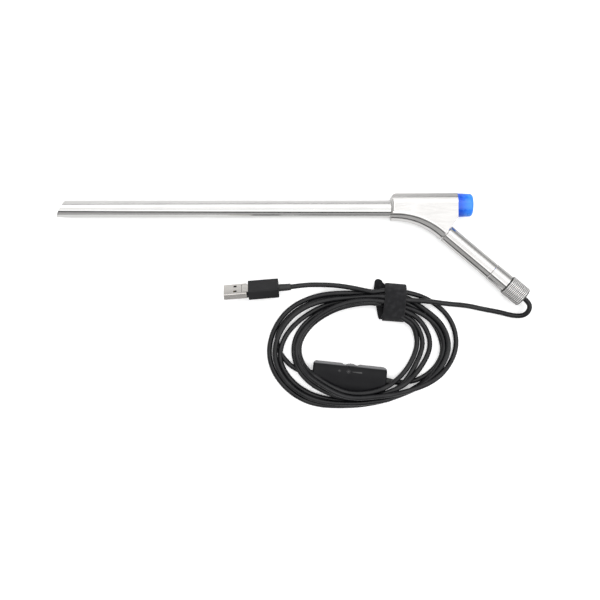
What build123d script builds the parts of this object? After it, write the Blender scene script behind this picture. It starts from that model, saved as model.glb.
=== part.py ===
from build123d import *
import math
import os

# Rigid video endoscope with a working channel, lying on its side beside its coiled USB cable.
# Frame: +Z up from the table, +X from the tip towards the rear port, origin under the middle of the instrument.
# All sizes are in millimetres.

# ---- Driving dimensions: instrument -------------------------------------------------
axis_height = 8.6            # height of the instrument's own plane of symmetry above the table
tube_axis_y = 28.5
tube_diameter = 12.3
tube_wall = 0.45
socket_step = 0.2            # the tube is turned down by this much all round where it enters the block
step_gap = 0.8               # bare step in front of the block
tip_x = -169.0               # foremost point of the bevelled tip
tip_slope = 28.0             # degrees between the bevel and a square cut
channel_offset = 2.7         # working channel above the tube's axis
channel_diameter = 5.2
channel_bore = 4.5
camera_offset = -2.8         # camera below the tube's axis
camera_diameter = 5.2
cable_diameter = 3.6

block_front_x = 69.0
block_length = 47.2
block_thickness = 2 * axis_height
block_top = 11.4             # above the tube's axis
block_bottom = 8.4           # below the tube's axis, at the front
block_corner = 5.0
block_edge = 8.0             # rounding of the long edges, nearly a half circle
front_edge = 2.6             # rounding of the edges of the front face
socket_depth = 18.0

branch_angle = 40.0          # between the tube and the handle
branch_start = 19.4          # where the two axes meet, behind the block's front face
block_end = 26.0             # the following are distances along the handle's axis
handle_end = 69.0
sleeve_end = 83.5
nut_end = 98.8
handle_diameter = 12.9
sleeve_diameter = 13.4
nut_diameter = 15.2
bore_gap = 0.05              # radial clearance of pieces that are soldered, screwed or pushed together
glue_gap = 0.02              # radial clearance of pieces that are glued

cap_diameter = 16.9
cap_length = 11.0
nipple_length = 8.1
nipple_diameter = 10.0

# ---- Driving dimensions: cable, dimmer and plug --------------------------------------
coil_height = 9.0
strap_centre = (72.3, -37.6)
strap_turn = -4.4
strap_width = 15.6
strap_span = 26.0
strap_height = 13.0
strap_wall = 1.6

dimmer_centre = (39.7, -92.4)
dimmer_turn = -6.0
dimmer_length = 53.0
dimmer_width = 20.0
dimmer_height = 11.0
dimmer_edge = 8.2            # height of the shell at its long sides, below the crowned top
dimmer_split = 4.6           # height of the seam between the shells
dimmer_wall = 1.4
wheel_diameter = 16.0
wheel_thickness = 3.0
wheel_place = (0.6, 2.4)
wheel_height = 5.6
relief_length = 5.5

plug_face = (-32.4, -29.6, 7.9)   # middle of the overmould's front face
plug_turn = 4.7
plug_roll = 52.0
overmould_length = 21.8
overmould_width = 13.6
overmould_height = 8.0
collar_length = 8.6
collar_diameter = 5.2
plug_width = 12.0
plug_height = 4.5
plug_length = 17.5
plug_sheet = 0.3
pin_back = 2.0               # hinge pin in front of the overmould's face
pin_rise = 0.7               # hinge pin above the plug's middle
slit_back = 4.9              # cut across the metal shell, in front of the overmould

# ---- Working planes -------------------------------------------------------------------
outline_plane = Plane(origin=(block_front_x, tube_axis_y, 0))


def across_tube(x, offset=0.0):
    """Plane square to the tube at x, its own +X up and its normal towards the rear port."""
    return Plane(origin=(x, tube_axis_y + offset, axis_height), x_dir=(0, 1, 0), z_dir=(1, 0, 0))


branch_direction = Vector(
    math.cos(math.radians(branch_angle)), -math.sin(math.radians(branch_angle)), 0
)
branch_origin = Vector(block_front_x + branch_start, tube_axis_y, axis_height)


def across_branch(distance):
    """Plane square to the handle's axis, so far along it."""
    return Plane(
        origin=branch_origin + branch_direction * distance, x_dir=(0, 0, 1), z_dir=branch_direction
    )


def flat_frame(place, turn):
    """Plane on the table, turned about the vertical."""
    angle = math.radians(turn)
    return Plane(origin=place, x_dir=(math.cos(angle), math.sin(angle), 0), z_dir=(0, 0, 1))


def finish(builder, name):
    """Label one piece and write its file."""
    builder.part.label = name
    export_step(builder.part, f"parts/{name}.step")


os.makedirs("parts", exist_ok=True)

# ---- Working tube: thin steel tube with its front end cut on a slope --------------------
tube_length = block_front_x + socket_depth - tip_x
with BuildPart() as working_tube:
    with BuildSketch(across_tube(tip_x)):
        Circle(tube_diameter / 2)
        Circle(tube_diameter / 2 - tube_wall, mode=Mode.SUBTRACT)
    extrude(amount=tube_length)
    bevel_rise = tube_diameter * math.tan(math.radians(tip_slope))
    with BuildSketch(Plane(origin=(tip_x, tube_axis_y, axis_height))):
        Polygon(
            (-1, -tube_diameter / 2),
            (0, -tube_diameter / 2),
            (bevel_rise, tube_diameter / 2),
            (-1, tube_diameter / 2),
            align=None,
        )
    extrude(amount=tube_diameter, both=True, mode=Mode.SUBTRACT)
    with BuildSketch(across_tube(block_front_x - step_gap)):
        Circle(tube_diameter)
        Circle(tube_diameter / 2 - socket_step, mode=Mode.SUBTRACT)
    extrude(amount=socket_depth + step_gap, mode=Mode.SUBTRACT)
finish(working_tube, "working_tube")

# ---- Channel liner: inner tube from just inside the tip to the rear port ------------------
liner_recess = 7.4           # behind the foremost point of the tip
liner_front_x = tip_x + liner_recess
liner_rear_x = block_front_x + block_length + nipple_length - 4 * bore_gap
with BuildPart() as channel_liner:
    with BuildSketch(across_tube(liner_front_x, channel_offset)):
        Circle(channel_diameter / 2)
        Circle(channel_bore / 2, mode=Mode.SUBTRACT)
    extrude(amount=liner_rear_x - liner_front_x)
finish(channel_liner, "channel_liner")

# ---- Tip insert: moulded plug that holds the camera and the liner apart ---------------------
insert_length = 10.0
with BuildPart() as tip_insert:
    with BuildSketch(across_tube(liner_front_x)):
        Circle(tube_diameter / 2 - tube_wall - glue_gap)
        with Locations((channel_offset, 0)):
            Circle(channel_diameter / 2 + glue_gap, mode=Mode.SUBTRACT)
        with Locations((camera_offset, 0)):
            Circle(camera_diameter / 2 + glue_gap, mode=Mode.SUBTRACT)
    extrude(amount=insert_length)
finish(tip_insert, "tip_insert")

# ---- Camera at the tip: housing, window, lens barrel, lamps and sensor ------------------------
camera_front_x = tip_x + 4.6
camera_length = 24.0
housing_wall = 0.3
housing_end = 1.0
window_recess = 0.2
lens_diameter = 2.4
window_depth = 0.5
barrel_length = 6.0
barrel_wall = 0.5
board_recess = 0.6
led_board_thickness = 0.6
lamp_count = 6
lamp_circle = 1.82
lamp_size = (0.95, 0.75, 0.35)
sensor_size = (3.0, 3.0, 1.2)
driver_size = (2.6, 0.8, 5.0)      # small board soldered behind the sensor
with BuildPart() as camera_housing:
    with BuildSketch(across_tube(camera_front_x, camera_offset)):
        Circle(camera_diameter / 2)
        Circle(camera_diameter / 2 - housing_wall, mode=Mode.SUBTRACT)
    extrude(amount=camera_length)
    with BuildSketch(across_tube(camera_front_x + camera_length, camera_offset)):
        Circle(camera_diameter / 2)
        Circle(cable_diameter / 2 + bore_gap, mode=Mode.SUBTRACT)
    extrude(amount=housing_end)
finish(camera_housing, "camera_housing")

with BuildPart() as lens_window:
    with BuildSketch(across_tube(camera_front_x + window_recess, camera_offset)):
        Circle(lens_diameter / 2)
    extrude(amount=window_depth)
finish(lens_window, "lens_window")

barrel_front_x = camera_front_x + window_recess + window_depth
with BuildPart() as lens_barrel:
    with BuildSketch(across_tube(barrel_front_x, camera_offset)):
        Circle(lens_diameter / 2)
        Circle(lens_diameter / 2 - barrel_wall, mode=Mode.SUBTRACT)
    extrude(amount=barrel_length)
finish(lens_barrel, "lens_barrel")

with BuildPart() as led_board:
    with BuildSketch(across_tube(camera_front_x + board_recess, camera_offset)):
        Circle(camera_diameter / 2 - housing_wall - glue_gap)
        Circle(lens_diameter / 2 + glue_gap, mode=Mode.SUBTRACT)
    extrude(amount=led_board_thickness)
finish(led_board, "led_board")

with BuildPart() as leds:
    with BuildSketch(across_tube(camera_front_x + board_recess - lamp_size[2], camera_offset)):
        with PolarLocations(lamp_circle, lamp_count, start_angle=30):
            Rectangle(lamp_size[1], lamp_size[0])
    extrude(amount=lamp_size[2])
finish(leds, "leds")

sensor_x = barrel_front_x + barrel_length
with BuildPart() as image_sensor:
    with BuildSketch(across_tube(sensor_x, camera_offset)):
        Rectangle(*sensor_size[:2])
    extrude(amount=sensor_size[2])
    with BuildSketch(across_tube(sensor_x + sensor_size[2], camera_offset)):
        Rectangle(*driver_size[:2])
    extrude(amount=driver_size[2])
finish(image_sensor, "image_sensor")

# ---- Inner cable: from the camera, through the block and the handle, to the nut's end ------------
lead_start_x = camera_front_x + camera_length - 2 * housing_end
lead_bend_radius = 18.0
camera_axis_y = tube_axis_y + camera_offset
bend_distance = -camera_offset / math.sin(math.radians(branch_angle))
bend_corner = branch_origin + branch_direction * bend_distance
with BuildPart() as camera_lead:
    with BuildLine() as lead_path:
        FilletPolyline(
            (lead_start_x, camera_axis_y, axis_height),
            bend_corner,
            branch_origin + branch_direction * nut_end,
            radius=lead_bend_radius,
        )
    with BuildSketch(across_tube(lead_start_x, camera_offset)):
        Circle(cable_diameter / 2)
    sweep(path=lead_path.wires()[0])
finish(camera_lead, "camera_lead")

# ---- Y block: solid body that joins tube, rear port and handle ---------------------------------------
half_handle = handle_diameter / 2
turn = math.radians(branch_angle)
end_middle = (
    branch_start + block_end * math.cos(turn),
    -block_end * math.sin(turn),
)
end_upper = (
    end_middle[0] + half_handle * math.sin(turn),
    end_middle[1] + half_handle * math.cos(turn),
)
end_lower = (
    end_middle[0] - half_handle * math.sin(turn),
    end_middle[1] - half_handle * math.cos(turn),
)
rear_low = -6.6              # lower corner of the rear face, from the tube's axis
flat_start = 2.0             # the lower edge runs straight this far before it curves towards the handle
cavity_end = 39.0
seat_depth = 8.0             # handle's spigot inside the block
seat_radius = 4.75
handle_bore = 3.2
with BuildPart() as y_block:
    with BuildSketch(outline_plane) as block_outline:
        with BuildLine():
            Polyline(
                (flat_start, -block_bottom),
                (0, -block_bottom),
                (0, block_top),
                (block_length, block_top),
                (block_length, rear_low),
                end_upper,
                end_lower,
            )
            TangentArc((flat_start, -block_bottom), end_lower, tangent=(1, 0))
        make_face()
        fillet(block_outline.vertices().sort_by(Axis.Y).sort_by(Axis.X)[1], block_corner)
    extrude(amount=block_thickness)
    # The long edges are well rounded; those of the rear face, of the handle's end and between the two stay sharp.
    lower_edges = (
        y_block.faces().filter_by(Axis.Z).edges()
        .filter_by(lambda e: e.center().Y < tube_axis_y - block_bottom + 0.1)
        .filter_by(lambda e: (e.center() - branch_origin).dot(branch_direction) < block_end - 0.5)
        .filter_by(lambda e: e.center().X < block_front_x + end_lower[0] - 0.5)
    )
    fillet(lower_edges, block_edge)
    with BuildSketch(Plane.YZ.offset(block_front_x)) as long_section:
        with Locations((tube_axis_y + block_top - block_length / 2, axis_height)):
            Rectangle(block_length, block_thickness)
        fillet(long_section.vertices().group_by(Axis.X)[-1], block_edge)
    extrude(amount=block_length, mode=Mode.INTERSECT)
    with BuildSketch(Plane.XZ.offset(-tube_axis_y - block_top)) as front_section:
        with Locations((block_front_x + block_length / 2, axis_height)):
            Rectangle(block_length, block_thickness)
        fillet(front_section.vertices().group_by(Axis.X)[0], front_edge)
    extrude(amount=block_length, mode=Mode.INTERSECT)
    with BuildSketch(across_tube(block_front_x)):
        Circle(tube_diameter / 2 - socket_step + bore_gap)
    extrude(amount=socket_depth, mode=Mode.SUBTRACT)
    with BuildSketch(across_tube(block_front_x + socket_depth)):
        Circle(tube_diameter / 2 - tube_wall)
    extrude(amount=cavity_end - socket_depth, mode=Mode.SUBTRACT)
    with BuildSketch(across_tube(block_front_x + cavity_end, channel_offset)):
        Circle(channel_diameter / 2 + bore_gap)
    extrude(amount=block_length - cavity_end, mode=Mode.SUBTRACT)
    with BuildSketch(across_tube(block_front_x + cavity_end + 1.0, channel_offset)):
        Circle(nipple_diameter / 2 - 0.5 + bore_gap)
    extrude(amount=block_length - cavity_end, mode=Mode.SUBTRACT)
    with BuildSketch(across_branch(0)):
        Circle(handle_bore)
    extrude(amount=block_end + 1, mode=Mode.SUBTRACT)
    with BuildSketch(across_branch(block_end - seat_depth)):
        Circle(seat_radius + bore_gap)
    extrude(amount=seat_depth + 1, mode=Mode.SUBTRACT)
finish(y_block, "y_block")

# ---- Rear port: steel nipple, its O-ring and the blue seal cap with its slit membrane -----------------
port_x = block_front_x + block_length
root_radius = nipple_diameter / 2 - 0.5
rim_bevel = 0.4
groove_place = 4.4
groove_half = 0.75
ring_radius = 4.32
ring_section = 0.65
with BuildPart() as port_nipple:
    with BuildSketch(across_tube(block_front_x + cavity_end + 1.0, channel_offset)):
        Circle(root_radius)
    extrude(amount=block_length - cavity_end - 1.0)
    with BuildSketch(across_tube(port_x, channel_offset)):
        Circle(nipple_diameter / 2)
    extrude(amount=nipple_length)
    chamfer(port_nipple.faces().sort_by(Axis.X)[-1].edges(), rim_bevel)
    with BuildSketch(across_tube(port_x + groove_place - groove_half, channel_offset)):
        Circle(nipple_diameter / 2 + 1)
        Circle(ring_radius - ring_section - glue_gap, mode=Mode.SUBTRACT)
    extrude(amount=2 * groove_half, mode=Mode.SUBTRACT)
    with BuildSketch(across_tube(block_front_x + cavity_end, channel_offset)):
        Circle(channel_diameter / 2 + bore_gap)
    extrude(amount=block_length, mode=Mode.SUBTRACT)
finish(port_nipple, "port_nipple")

port_axis_y = tube_axis_y + channel_offset
port_axis = Axis((port_x, port_axis_y, axis_height), (1, 0, 0))
with BuildPart() as port_ring:
    with BuildSketch(Plane(origin=(port_x + groove_place, port_axis_y, axis_height))):
        with Locations((0, ring_radius)):
            Circle(ring_section)
    revolve(axis=port_axis, revolution_arc=360)
finish(port_ring, "port_ring")

cap_bore_depth = 9.2
cap_hole_radius = 2.5
cap_rounding = 2.0
cap_draft = 0.35             # the cap is this much smaller in radius at its outer end
cap_gap = 0.1
with BuildPart() as seal_cap:
    with BuildSketch(Plane(origin=(port_x + cap_gap, port_axis_y, axis_height))) as cap_profile:
        with BuildLine():
            Polyline(
                (0, nipple_diameter / 2 + bore_gap),
                (0, cap_diameter / 2),
                (cap_length, cap_diameter / 2 - cap_draft),
                (cap_length, cap_hole_radius),
                (cap_bore_depth, cap_hole_radius),
                (cap_bore_depth, nipple_diameter / 2 + bore_gap),
                close=True,
            )
        make_face()
        outer_corner = cap_profile.vertices().sort_by(Axis.Y).group_by(Axis.X)[-1].sort_by(Axis.Y)[-1]
        fillet(outer_corner, cap_rounding)
    revolve(axis=port_axis, revolution_arc=360)
finish(seal_cap, "seal_cap")

membrane_thickness = 0.8
slit_size = (4.0, 0.25)
with BuildPart() as seal_membrane:
    with BuildSketch(across_tube(port_x + cap_gap + cap_bore_depth - membrane_thickness, channel_offset)):
        Circle(nipple_diameter / 2 - bore_gap)
        Rectangle(*slit_size, mode=Mode.SUBTRACT)
    extrude(amount=membrane_thickness)
finish(seal_membrane, "seal_membrane")

# ---- Handle: steel tube soldered into the block ---------------------------------------------------------
thread_radius = 5.0
thread_depth = 10.0
groove_width = 1.0
seat_length = seat_depth - 4 * bore_gap
tube_bevel = 0.35
sleeve_bevel = 0.5
with BuildPart() as handle_tube:
    with BuildSketch(across_branch(block_end - seat_length)):
        Circle(seat_radius)
    extrude(amount=seat_length + groove_width)
    with BuildSketch(across_branch(block_end + groove_width)):
        Circle(half_handle)
    extrude(amount=handle_end - block_end - groove_width)
    rims = handle_tube.edges().filter_by(GeomType.CIRCLE).filter_by(lambda e: e.radius > seat_radius + 1)
    chamfer(rims, tube_bevel)
    with BuildSketch(across_branch(block_end - seat_depth)):
        Circle(handle_bore)
    extrude(amount=handle_end - block_end + seat_depth + 1, mode=Mode.SUBTRACT)
    with BuildSketch(across_branch(handle_end - thread_depth)):
        Circle(thread_radius)
    extrude(amount=thread_depth + 1, mode=Mode.SUBTRACT)
finish(handle_tube, "handle_tube")

# ---- Gland: sleeve, rubber collet, thrust washer and the knurled nut that squeezes them ------------------
spigot_radius = 5.5
spigot_length = 10.0
lead_hole_radius = 2.2
pocket_radius = 4.0
collet_start = sleeve_end + 2.8
collet_end = sleeve_end + spigot_length + 0.8
with BuildPart() as gland_sleeve:
    with BuildSketch(across_branch(handle_end - thread_depth + 4 * bore_gap)):
        Circle(thread_radius - bore_gap)
    extrude(amount=thread_depth - 4 * bore_gap)
    with BuildSketch(across_branch(handle_end)):
        Circle(sleeve_diameter / 2)
    extrude(amount=sleeve_end - handle_end)
    rims = gland_sleeve.edges().filter_by(GeomType.CIRCLE).filter_by(lambda e: e.radius > spigot_radius + 0.5)
    chamfer(rims, sleeve_bevel)
    with BuildSketch(across_branch(sleeve_end)):
        Circle(spigot_radius)
    extrude(amount=spigot_length)
    with BuildSketch(across_branch(handle_end - thread_depth)):
        Circle(lead_hole_radius)
    extrude(amount=sleeve_end - handle_end + thread_depth + spigot_length + 1, mode=Mode.SUBTRACT)
    with BuildSketch(across_branch(collet_start - 4 * bore_gap)):
        Circle(pocket_radius)
    extrude(amount=spigot_length, mode=Mode.SUBTRACT)
finish(gland_sleeve, "gland_sleeve")

with BuildPart() as cable_collet:
    with BuildSketch(across_branch(collet_start)):
        Circle(pocket_radius - bore_gap)
        Circle(cable_diameter / 2 + glue_gap, mode=Mode.SUBTRACT)
    extrude(amount=collet_end - collet_start)
finish(cable_collet, "cable_collet")

washer_start = collet_end + 2 * bore_gap
washer_thickness = 1.0
washer_radius = 5.3
with BuildPart() as thrust_washer:
    with BuildSketch(across_branch(washer_start)):
        Circle(washer_radius)
        Circle(lead_hole_radius - 2 * bore_gap, mode=Mode.SUBTRACT)
    extrude(amount=washer_thickness)
finish(thrust_washer, "thrust_washer")

nut_start = sleeve_end + 3 * bore_gap
nut_wall_start = washer_start + washer_thickness + bore_gap
nut_rounding = 1.3
nut_bevel = 0.4
with BuildPart() as knurled_nut:
    with BuildSketch(across_branch(nut_start)):
        Circle(nut_diameter / 2)
    extrude(amount=nut_end - nut_start)
    rear_rim = knurled_nut.edges().sort_by(lambda e: (e.center() - branch_origin).dot(branch_direction))
    fillet(rear_rim[-1], nut_rounding)
    chamfer(rear_rim[0], nut_bevel)
    with BuildSketch(across_branch(nut_start - 1)):
        Circle(spigot_radius + bore_gap)
    extrude(amount=nut_wall_start - nut_start + 1, mode=Mode.SUBTRACT)
    with BuildSketch(across_branch(nut_wall_start - 1)):
        Circle(lead_hole_radius)
    extrude(amount=nut_end, mode=Mode.SUBTRACT)
finish(knurled_nut, "knurled_nut")

# ---- Cable outside the instrument: two free stretches, the coil between them and its strap ----------------
# The first stretch turns sharply out of the nut, drops to the table, then climbs over the coil.
lead_route = [
    (164.2, -35.1, 8.6),
    (168.0, -38.3, 8.5),
    (169.0, -42.1, 7.8),
    (167.5, -45.8, 6.5),
    (164.0, -48.0, 4.9),
    (157.6, -47.8, 2.9),
    (148.6, -45.3, 1.9),
    (137.0, -43.2, 1.85),
    (124.5, -40.4, 2.6),
    (111.0, -39.4, 5.8),
    (97.0, -37.4, 6.9),
    (84.0, -36.9, 6.6),
]
# The last stretch leaves the strap on top of the coil and runs out to the plug.
tail_route = [
    (56.5, -30.9, 8.6),
    (48.5, -29.2, 8.1),
    (40.0, -27.4, 7.0),
    (29.5, -25.9, 5.7),
    (18.0, -25.5, 5.2),
    (7.5, -25.7, 6.3),
]


def corner_radii(route):
    """Radius at each inner point: 0.45 of the shorter run over the tangent of half the turn."""
    points = [Vector(*p) for p in route]
    runs = [b - a for a, b in zip(points, points[1:])]
    radii = []
    for before, after in zip(runs, runs[1:]):
        half = math.radians(before.get_angle(after)) / 2
        radii.append(0.45 * min(before.length, after.length) / math.tan(half))
    return radii


def report_cable(name, path, solid, radii):
    section = math.pi * (cable_diameter / 2) ** 2
    print(name, "radii", [round(r, 1) for r in radii])
    print(name, "length", round(path.length, 1), "volume share", round(solid.volume / section / path.length, 4))


plug_angle = math.radians(plug_turn)
plug_direction = Vector(math.cos(plug_angle), math.sin(plug_angle), 0)
roll = math.radians(plug_roll)
plug_normal = Vector(
    -math.sin(plug_angle) * math.sin(roll), math.cos(plug_angle) * math.sin(roll), math.cos(roll)
)
plug_plane = Plane(origin=plug_face, x_dir=plug_direction, z_dir=plug_normal)
collar_end = Vector(*plug_face) + plug_direction * (overmould_length + collar_length)

with BuildPart() as cable_lead:
    lead_radii = corner_radii(lead_route)
    with BuildLine() as path:
        FilletPolyline(*lead_route, radius=lead_radii)
    with BuildSketch(Plane(origin=path.wires()[0] @ 0, z_dir=path.wires()[0] % 0)):
        Circle(cable_diameter / 2)
    sweep(path=path.wires()[0])
report_cable("cable_lead", path.wires()[0], cable_lead.part, lead_radii)
finish(cable_lead, "cable_lead")

tail_points = tail_route + [tuple(collar_end)]
with BuildPart() as cable_tail:
    tail_radii = corner_radii(tail_points)
    with BuildLine() as path:
        FilletPolyline(*tail_points, radius=tail_radii)
    with BuildSketch(Plane(origin=path.wires()[0] @ 0, z_dir=path.wires()[0] % 0)):
        Circle(cable_diameter / 2)
    sweep(path=path.wires()[0])
report_cable("cable_tail", path.wires()[0], cable_tail.part, tail_radii)
finish(cable_tail, "cable_tail")

strap_plane = flat_frame((*strap_centre, 0), strap_turn)
dimmer_plane = flat_frame((*dimmer_centre, 0), dimmer_turn)
clear = 0.3                  # between the coil's outer shape and what lies in it
neck_width = 12.0            # the coil inside the strap
relief_width = 6.2
strap_corner = 5.0

# Outer shape of the coil: an uneven ring, thin under the strap, with room for the dimmer on its lower side.
coil_outside = [
    (27, -31.2),
    (-2.5, -38.5),
    (-16.8, -74),
    (-3, -104.5),
    (29, -114.6),
    (82, -104),
    (112, -85.5),
    (120.2, -63),
    (103.5, -38.2),
    (72, -30.6),
]
coil_inside = [
    (42, -41.6),
    (17, -44.5),
    (7.4, -66),
    (15, -89),
    (41, -101.5),
    (69, -95.5),
    (86.4, -70),
    (79, -51),
    (62, -42.4),
]
with BuildPart() as cable_coil:
    with BuildSketch():
        with BuildLine():
            Spline(*coil_outside, periodic=True)
        make_face()
        with BuildLine():
            Spline(*coil_inside, periodic=True)
        make_face(mode=Mode.SUBTRACT)
    extrude(amount=coil_height)
    with BuildSketch(strap_plane):
        Rectangle(strap_width + 2 * clear, strap_span + 2 * clear)
    extrude(amount=strap_height + clear, mode=Mode.SUBTRACT)
    with BuildSketch(strap_plane.offset(strap_wall + clear)):
        Rectangle(strap_width + 5, neck_width)
    extrude(amount=strap_height - 2 * strap_wall - 2 * clear)
    with BuildSketch(dimmer_plane):
        Rectangle(dimmer_length + 2 * clear, dimmer_width + 2 * clear)
        Rectangle(dimmer_length + 2 * relief_length, relief_width)
    extrude(amount=coil_height + 1, mode=Mode.SUBTRACT)
finish(cable_coil, "cable_coil")

with BuildPart() as cable_strap:
    band_plane = Plane(
        origin=strap_plane.from_local_coords((-strap_width / 2, 0, strap_height / 2)),
        x_dir=strap_plane.y_dir,
        z_dir=strap_plane.x_dir,
    )
    with BuildSketch(band_plane):
        RectangleRounded(strap_span, strap_height, strap_corner)
        RectangleRounded(
            strap_span - 2 * strap_wall,
            strap_height - 2 * strap_wall,
            strap_corner - strap_wall,
            mode=Mode.SUBTRACT,
        )
    extrude(amount=strap_width)
finish(cable_strap, "cable_strap")

# ---- Dimmer: two moulded shells, thumbwheel, potentiometer, board, screws and strain reliefs ----------------
end_plane = Plane(
    origin=dimmer_plane.from_local_coords((-dimmer_length / 2, 0, 0)),
    x_dir=dimmer_plane.y_dir,
    z_dir=dimmer_plane.x_dir,
)
thumb_chord = 13.0
thumb_depth = 2.0
thumb_radius = (thumb_chord ** 2 / 4 + thumb_depth ** 2) / (2 * thumb_depth)
wheel_slot = 0.5
cable_hole_radius = 2.0
end_corner = 2.4
top_rounding = 1.6
base_rounding = 1.2


def crowned_section(plane, inset):
    """Outline of the dimmer square to its length, with a crowned top, smaller all round by the inset."""
    half = dimmer_width / 2 - inset
    with BuildSketch(plane) as section:
        with BuildLine():
            Polyline(
                (half, dimmer_edge - inset),
                (half, inset),
                (-half, inset),
                (-half, dimmer_edge - inset),
            )
            ThreePointArc(
                (-half, dimmer_edge - inset), (0, dimmer_height - inset), (half, dimmer_edge - inset)
            )
        make_face()
    return section.sketch


outer_section = crowned_section(end_plane, 0)
inner_section = crowned_section(end_plane.offset(dimmer_wall), dimmer_wall)

# Everything that is cut through both shells: thumb scoop, wheel slot and cable holes.
with BuildPart() as dimmer_openings:
    with BuildSketch(dimmer_plane):
        with Locations((wheel_place[0], dimmer_width / 2 + thumb_radius - thumb_depth)):
            Circle(thumb_radius)
    extrude(amount=dimmer_height + 1)
    with BuildSketch(dimmer_plane.offset(wheel_height - wheel_thickness / 2 - wheel_slot)):
        with Locations(wheel_place):
            Circle(wheel_diameter / 2 + wheel_slot)
    extrude(amount=wheel_thickness + 2 * wheel_slot)
    with BuildSketch(end_plane.offset(-1)):
        with Locations((0, dimmer_split)):
            Circle(cable_hole_radius)
    extrude(amount=dimmer_length + 2)

with BuildPart() as dimmer_top:
    extrude(outer_section, amount=dimmer_length)
    fillet(dimmer_top.edges().filter_by(Axis.Z), end_corner)
    fillet(dimmer_top.faces().sort_by(Axis.Z)[-1].edges(), top_rounding)
    extrude(inner_section, amount=dimmer_length - 2 * dimmer_wall, mode=Mode.SUBTRACT)
    split(bisect_by=dimmer_plane.offset(dimmer_split), keep=Keep.TOP)
    add(dimmer_openings.part, mode=Mode.SUBTRACT)
finish(dimmer_top, "dimmer_top_shell")

screw_places = [(-21.0, 0), (21.0, 0)]
boss_radius = 2.4
boss_start = 0.5
screw_head_radius = 1.65
screw_head_height = 0.95
screw_recess = 0.2
screw_radius = 0.9
screw_length = 2.0
recess_size = (2.0, 0.4)     # arms of the cross in the screw's head
with BuildPart() as dimmer_bottom:
    extrude(outer_section, amount=dimmer_length)
    fillet(dimmer_bottom.edges().filter_by(Axis.Z), end_corner)
    fillet(dimmer_bottom.faces().sort_by(Axis.Z)[0].edges(), base_rounding)
    extrude(inner_section, amount=dimmer_length - 2 * dimmer_wall, mode=Mode.SUBTRACT)
    split(bisect_by=dimmer_plane.offset(dimmer_split), keep=Keep.BOTTOM)
    with BuildSketch(dimmer_plane.offset(boss_start)):
        with Locations(*screw_places):
            Circle(boss_radius)
    extrude(amount=dimmer_split - dimmer_wall - boss_start)
    with BuildSketch(dimmer_plane):
        with Locations(*screw_places):
            Circle(screw_head_radius + 2 * bore_gap)
    extrude(amount=screw_recess + screw_head_height + bore_gap, mode=Mode.SUBTRACT)
    with BuildSketch(dimmer_plane):
        with Locations(*screw_places):
            Circle(screw_radius + bore_gap)
    extrude(amount=dimmer_split, mode=Mode.SUBTRACT)
    add(dimmer_openings.part, mode=Mode.SUBTRACT)
finish(dimmer_bottom, "dimmer_bottom_shell")

with BuildPart() as dimmer_screws:
    with BuildSketch(dimmer_plane.offset(screw_recess)):
        with Locations(*screw_places):
            Circle(screw_head_radius)
    extrude(amount=screw_head_height)
    with BuildSketch(dimmer_plane.offset(screw_recess + screw_head_height)):
        with Locations(*screw_places):
            Circle(screw_radius)
    extrude(amount=screw_length)
    with BuildSketch(dimmer_plane.offset(screw_recess)):
        with Locations(*screw_places):
            Rectangle(*recess_size)
            Rectangle(*reversed(recess_size))
    extrude(amount=screw_head_height / 2, mode=Mode.SUBTRACT)
finish(dimmer_screws, "dimmer_screws")

board_height = 1.7
board_thickness = 0.8
board_size = (32.0, 13.0)
board_shift = 0.3
with BuildPart() as dimmer_board:
    with BuildSketch(dimmer_plane.offset(board_height)):
        with Locations((wheel_place[0], board_shift)):
            Rectangle(*board_size)
    extrude(amount=board_thickness)
finish(dimmer_board, "dimmer_board")

pot_size = 8.0
pot_gap = 0.3                # under the wheel
pot_top = wheel_height - wheel_thickness / 2 - pot_gap
axle_radius = 1.5
axle_stub = 0.5              # of the axle above the wheel
with BuildPart() as dimmer_pot:
    with BuildSketch(dimmer_plane.offset(board_height + board_thickness)):
        with Locations(wheel_place):
            Rectangle(pot_size, pot_size)
    extrude(amount=pot_top - board_height - board_thickness)
    with BuildSketch(dimmer_plane.offset(pot_top)):
        with Locations(wheel_place):
            Circle(axle_radius)
    extrude(amount=pot_gap + wheel_thickness + axle_stub)
finish(dimmer_pot, "dimmer_pot")

rib_count = 44
rib_groove = 0.28
wheel_gap = 0.04
with BuildPart() as dimmer_wheel:
    with BuildSketch(dimmer_plane.offset(wheel_height - wheel_thickness / 2)):
        with Locations(wheel_place):
            Circle(wheel_diameter / 2)
            Circle(axle_radius + wheel_gap, mode=Mode.SUBTRACT)
            with PolarLocations(wheel_diameter / 2, rib_count):
                Circle(rib_groove, mode=Mode.SUBTRACT)
    extrude(amount=wheel_thickness)
finish(dimmer_wheel, "dimmer_wheel")


relief_radii = (3.0, 2.4)    # at the shell and at the cable
flange_radius = 2.7
flange_thickness = 1.15


def make_relief(side):
    """Tapered rubber sleeve where the cable enters one end of the dimmer."""
    middle = dimmer_plane.from_local_coords((side * dimmer_length / 2, 0, dimmer_split))
    outward = dimmer_plane.x_dir * side
    seat = Plane(origin=middle, x_dir=(0, 0, 1), z_dir=outward)
    with BuildPart() as relief:
        with BuildSketch(seat.offset(bore_gap)):
            Circle(relief_radii[0])
        with BuildSketch(seat.offset(relief_length)):
            Circle(relief_radii[1])
        loft()
        with BuildSketch(seat.offset(-dimmer_wall - bore_gap)):
            Circle(cable_hole_radius - bore_gap)
        extrude(amount=dimmer_wall + 4 * bore_gap)
        with BuildSketch(seat.offset(-dimmer_wall - bore_gap - flange_thickness)):
            Circle(flange_radius)
        extrude(amount=flange_thickness)
    return relief


finish(make_relief(-1), "dimmer_relief_in")
finish(make_relief(1), "dimmer_relief_out")

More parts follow.
